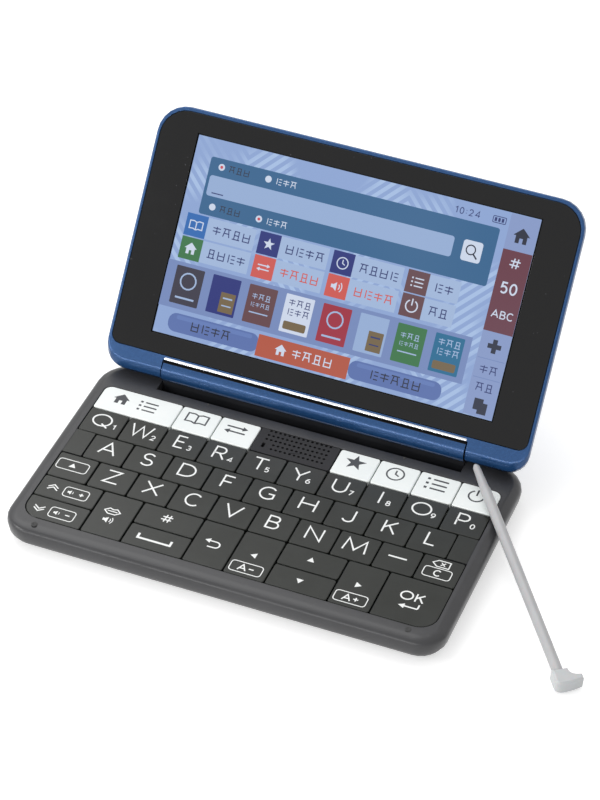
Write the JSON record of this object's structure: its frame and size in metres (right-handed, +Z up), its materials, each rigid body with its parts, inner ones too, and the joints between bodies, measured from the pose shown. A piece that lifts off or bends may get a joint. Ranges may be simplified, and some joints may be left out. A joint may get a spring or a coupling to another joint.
{
  "type": "electronic dictionary",
  "caption": "Pocket electronic dictionary with a keyboard base, a wide screen lid on a two-axis link hinge and a loose hooked stylus.",
  "frame": {"origin": "centre of the base's flat bottom face", "axes": "+X to the right along the keyboard rows, +Y to the hinge, +Z up"},
  "size_m": [0.1852, 0.1335, 0.0822],
  "materials": {
    "casing": "fine matt moulded texture, dark warm grey",
    "key": "satin charcoal with white printed legends",
    "white_key": "smooth white with dark printed legends",
    "blue": "satin metallic-look blue",
    "black": "glossy black bezel",
    "screen": "lit colour display under a clear film",
    "rubber": "matt silicone",
    "board": "green solder mask",
    "battery": "plain dark wrap",
    "steel": "stamped steel",
    "stylus": "light grey moulded plastic"
  },
  "bodies": {
    "base": {"lower_case": "casing", "upper_case": "casing", "speaker_grille": "casing", "speaker": "steel", "keypad_mat": "rubber", "circuit_board": "board", "battery_pack": "battery", "battery_cover": "casing"},
    "barrel": {"hinge_barrel": "blue"},
    "lid": {"lid_back_cover": "blue", "lid_front_panel": "black", "display_panel": "screen"},
    "stylus": {"stylus": "stylus"},
    "key_home": {"key_home": "white_key"},
    "key_shortcut_1": {"key_shortcut_1": "white_key"},
    "key_shortcut_2": {"key_shortcut_2": "white_key"},
    "key_shortcut_3": {"key_shortcut_3": "white_key"},
    "key_shortcut_4": {"key_shortcut_4": "white_key"},
    "key_shortcut_5": {"key_shortcut_5": "white_key"},
    "key_power": {"key_power": "white_key"},
    "key_q": {"key_q": "key"},
    "key_w": {"key_w": "key"},
    "key_e": {"key_e": "key"},
    "key_r": {"key_r": "key"},
    "key_t": {"key_t": "key"},
    "key_y": {"key_y": "key"},
    "key_u": {"key_u": "key"},
    "key_i": {"key_i": "key"},
    "key_o": {"key_o": "key"},
    "key_p": {"key_p": "key"},
    "key_a": {"key_a": "key"},
    "key_s": {"key_s": "key"},
    "key_d": {"key_d": "key"},
    "key_f": {"key_f": "key"},
    "key_g": {"key_g": "key"},
    "key_h": {"key_h": "key"},
    "key_j": {"key_j": "key"},
    "key_k": {"key_k": "key"},
    "key_l": {"key_l": "key"},
    "key_z": {"key_z": "key"},
    "key_x": {"key_x": "key"},
    "key_c": {"key_c": "key"},
    "key_v": {"key_v": "key"},
    "key_b": {"key_b": "key"},
    "key_n": {"key_n": "key"},
    "key_m": {"key_m": "key"},
    "key_shift": {"key_shift": "key"},
    "key_dash": {"key_dash": "key"},
    "key_delete": {"key_delete": "key"},
    "key_volume_up": {"key_volume_up": "key"},
    "key_volume_down": {"key_volume_down": "key"},
    "key_voice": {"key_voice": "key"},
    "key_symbol": {"key_symbol": "key"},
    "key_space": {"key_space": "key"},
    "key_back": {"key_back": "key"},
    "key_left": {"key_left": "key"},
    "key_up": {"key_up": "key"},
    "key_down": {"key_down": "key"},
    "key_right": {"key_right": "key"},
    "key_enter": {"key_enter": "key"}
  },
  "joints": [
    {"name": "lid_hinge", "type": "hinge", "parent": "barrel", "child": "lid", "pos_m": [0, 0.0395, 0.0131], "axis": [-1, 0, 0], "range_deg": [-126.3, 53.7]},
    {"name": "barrel_hinge", "type": "hinge", "parent": "base", "child": "barrel", "pos_m": [0, 0.0395, 0.0045], "axis": [-1, 0, 0], "range_deg": [0, 180]},
    {"name": "stylus_swing", "type": "hinge", "parent": "base", "child": "stylus", "pos_m": [0.0795, -0.0499, 0], "axis": [0.2149, 0.0723, 0.974], "range_deg": [-17.4, 7.5]},
    {"name": "press_home", "type": "slide", "parent": "base", "child": "key_home", "axis": [0, 0, -1], "range_m": [0, 0.0008], "stiffness_N_per_m": 300, "springref_m": -0.001},
    {"name": "press_shortcut_1", "type": "slide", "parent": "base", "child": "key_shortcut_1", "axis": [0, 0, -1], "range_m": [0, 0.0008], "stiffness_N_per_m": 300, "springref_m": -0.001},
    {"name": "press_shortcut_2", "type": "slide", "parent": "base", "child": "key_shortcut_2", "axis": [0, 0, -1], "range_m": [0, 0.0008], "stiffness_N_per_m": 300, "springref_m": -0.001},
    {"name": "press_shortcut_3", "type": "slide", "parent": "base", "child": "key_shortcut_3", "axis": [0, 0, -1], "range_m": [0, 0.0008], "stiffness_N_per_m": 300, "springref_m": -0.001},
    {"name": "press_shortcut_4", "type": "slide", "parent": "base", "child": "key_shortcut_4", "axis": [0, 0, -1], "range_m": [0, 0.0008], "stiffness_N_per_m": 300, "springref_m": -0.001},
    {"name": "press_shortcut_5", "type": "slide", "parent": "base", "child": "key_shortcut_5", "axis": [0, 0, -1], "range_m": [0, 0.0008], "stiffness_N_per_m": 300, "springref_m": -0.001},
    {"name": "press_power", "type": "slide", "parent": "base", "child": "key_power", "axis": [0, 0, -1], "range_m": [0, 0.0008], "stiffness_N_per_m": 300, "springref_m": -0.001},
    {"name": "press_q", "type": "slide", "parent": "base", "child": "key_q", "axis": [0, 0, -1], "range_m": [0, 0.0008], "stiffness_N_per_m": 300, "springref_m": -0.001},
    {"name": "press_w", "type": "slide", "parent": "base", "child": "key_w", "axis": [0, 0, -1], "range_m": [0, 0.0008], "stiffness_N_per_m": 300, "springref_m": -0.001},
    {"name": "press_e", "type": "slide", "parent": "base", "child": "key_e", "axis": [0, 0, -1], "range_m": [0, 0.0008], "stiffness_N_per_m": 300, "springref_m": -0.001},
    {"name": "press_r", "type": "slide", "parent": "base", "child": "key_r", "axis": [0, 0, -1], "range_m": [0, 0.0008], "stiffness_N_per_m": 300, "springref_m": -0.001},
    {"name": "press_t", "type": "slide", "parent": "base", "child": "key_t", "axis": [0, 0, -1], "range_m": [0, 0.0008], "stiffness_N_per_m": 300, "springref_m": -0.001},
    {"name": "press_y", "type": "slide", "parent": "base", "child": "key_y", "axis": [0, 0, -1], "range_m": [0, 0.0008], "stiffness_N_per_m": 300, "springref_m": -0.001},
    {"name": "press_u", "type": "slide", "parent": "base", "child": "key_u", "axis": [0, 0, -1], "range_m": [0, 0.0008], "stiffness_N_per_m": 300, "springref_m": -0.001},
    {"name": "press_i", "type": "slide", "parent": "base", "child": "key_i", "axis": [0, 0, -1], "range_m": [0, 0.0008], "stiffness_N_per_m": 300, "springref_m": -0.001},
    {"name": "press_o", "type": "slide", "parent": "base", "child": "key_o", "axis": [0, 0, -1], "range_m": [0, 0.0008], "stiffness_N_per_m": 300, "springref_m": -0.001},
    {"name": "press_p", "type": "slide", "parent": "base", "child": "key_p", "axis": [0, 0, -1], "range_m": [0, 0.0008], "stiffness_N_per_m": 300, "springref_m": -0.001},
    {"name": "press_a", "type": "slide", "parent": "base", "child": "key_a", "axis": [0, 0, -1], "range_m": [0, 0.0008], "stiffness_N_per_m": 300, "springref_m": -0.001},
    {"name": "press_s", "type": "slide", "parent": "base", "child": "key_s", "axis": [0, 0, -1], "range_m": [0, 0.0008], "stiffness_N_per_m": 300, "springref_m": -0.001},
    {"name": "press_d", "type": "slide", "parent": "base", "child": "key_d", "axis": [0, 0, -1], "range_m": [0, 0.0008], "stiffness_N_per_m": 300, "springref_m": -0.001},
    {"name": "press_f", "type": "slide", "parent": "base", "child": "key_f", "axis": [0, 0, -1], "range_m": [0, 0.0008], "stiffness_N_per_m": 300, "springref_m": -0.001},
    {"name": "press_g", "type": "slide", "parent": "base", "child": "key_g", "axis": [0, 0, -1], "range_m": [0, 0.0008], "stiffness_N_per_m": 300, "springref_m": -0.001},
    {"name": "press_h", "type": "slide", "parent": "base", "child": "key_h", "axis": [0, 0, -1], "range_m": [0, 0.0008], "stiffness_N_per_m": 300, "springref_m": -0.001},
    {"name": "press_j", "type": "slide", "parent": "base", "child": "key_j", "axis": [0, 0, -1], "range_m": [0, 0.0008], "stiffness_N_per_m": 300, "springref_m": -0.001},
    {"name": "press_k", "type": "slide", "parent": "base", "child": "key_k", "axis": [0, 0, -1], "range_m": [0, 0.0008], "stiffness_N_per_m": 300, "springref_m": -0.001},
    {"name": "press_l", "type": "slide", "parent": "base", "child": "key_l", "axis": [0, 0, -1], "range_m": [0, 0.0008], "stiffness_N_per_m": 300, "springref_m": -0.001},
    {"name": "press_z", "type": "slide", "parent": "base", "child": "key_z", "axis": [0, 0, -1], "range_m": [0, 0.0008], "stiffness_N_per_m": 300, "springref_m": -0.001},
    {"name": "press_x", "type": "slide", "parent": "base", "child": "key_x", "axis": [0, 0, -1], "range_m": [0, 0.0008], "stiffness_N_per_m": 300, "springref_m": -0.001},
    {"name": "press_c", "type": "slide", "parent": "base", "child": "key_c", "axis": [0, 0, -1], "range_m": [0, 0.0008], "stiffness_N_per_m": 300, "springref_m": -0.001},
    {"name": "press_v", "type": "slide", "parent": "base", "child": "key_v", "axis": [0, 0, -1], "range_m": [0, 0.0008], "stiffness_N_per_m": 300, "springref_m": -0.001},
    {"name": "press_b", "type": "slide", "parent": "base", "child": "key_b", "axis": [0, 0, -1], "range_m": [0, 0.0008], "stiffness_N_per_m": 300, "springref_m": -0.001},
    {"name": "press_n", "type": "slide", "parent": "base", "child": "key_n", "axis": [0, 0, -1], "range_m": [0, 0.0008], "stiffness_N_per_m": 300, "springref_m": -0.001},
    {"name": "press_m", "type": "slide", "parent": "base", "child": "key_m", "axis": [0, 0, -1], "range_m": [0, 0.0008], "stiffness_N_per_m": 300, "springref_m": -0.001},
    {"name": "press_shift", "type": "slide", "parent": "base", "child": "key_shift", "axis": [0, 0, -1], "range_m": [0, 0.0008], "stiffness_N_per_m": 300, "springref_m": -0.001},
    {"name": "press_dash", "type": "slide", "parent": "base", "child": "key_dash", "axis": [0, 0, -1], "range_m": [0, 0.0008], "stiffness_N_per_m": 300, "springref_m": -0.001},
    {"name": "press_delete", "type": "slide", "parent": "base", "child": "key_delete", "axis": [0, 0, -1], "range_m": [0, 0.0008], "stiffness_N_per_m": 300, "springref_m": -0.001},
    {"name": "press_volume_up", "type": "slide", "parent": "base", "child": "key_volume_up", "axis": [0, 0, -1], "range_m": [0, 0.0008], "stiffness_N_per_m": 300, "springref_m": -0.001},
    {"name": "press_volume_down", "type": "slide", "parent": "base", "child": "key_volume_down", "axis": [0, 0, -1], "range_m": [0, 0.0008], "stiffness_N_per_m": 300, "springref_m": -0.001},
    {"name": "press_voice", "type": "slide", "parent": "base", "child": "key_voice", "axis": [0, 0, -1], "range_m": [0, 0.0008], "stiffness_N_per_m": 300, "springref_m": -0.001},
    {"name": "press_symbol", "type": "slide", "parent": "base", "child": "key_symbol", "axis": [0, 0, -1], "range_m": [0, 0.0008], "stiffness_N_per_m": 300, "springref_m": -0.001},
    {"name": "press_space", "type": "slide", "parent": "base", "child": "key_space", "axis": [0, 0, -1], "range_m": [0, 0.0008], "stiffness_N_per_m": 300, "springref_m": -0.001},
    {"name": "press_back", "type": "slide", "parent": "base", "child": "key_back", "axis": [0, 0, -1], "range_m": [0, 0.0008], "stiffness_N_per_m": 300, "springref_m": -0.001},
    {"name": "press_left", "type": "slide", "parent": "base", "child": "key_left", "axis": [0, 0, -1], "range_m": [0, 0.0008], "stiffness_N_per_m": 300, "springref_m": -0.001},
    {"name": "press_up", "type": "slide", "parent": "base", "child": "key_up", "axis": [0, 0, -1], "range_m": [0, 0.0008], "stiffness_N_per_m": 300, "springref_m": -0.001},
    {"name": "press_down", "type": "slide", "parent": "base", "child": "key_down", "axis": [0, 0, -1], "range_m": [0, 0.0008], "stiffness_N_per_m": 300, "springref_m": -0.001},
    {"name": "press_right", "type": "slide", "parent": "base", "child": "key_right", "axis": [0, 0, -1], "range_m": [0, 0.0008], "stiffness_N_per_m": 300, "springref_m": -0.001},
    {"name": "press_enter", "type": "slide", "parent": "base", "child": "key_enter", "axis": [0, 0, -1], "range_m": [0, 0.0008], "stiffness_N_per_m": 300, "springref_m": -0.001}
  ],
  "couplings": [
    {"joint": "stylus_swing", "follows": "lid_hinge", "ratio": 0.1366}
  ]
}
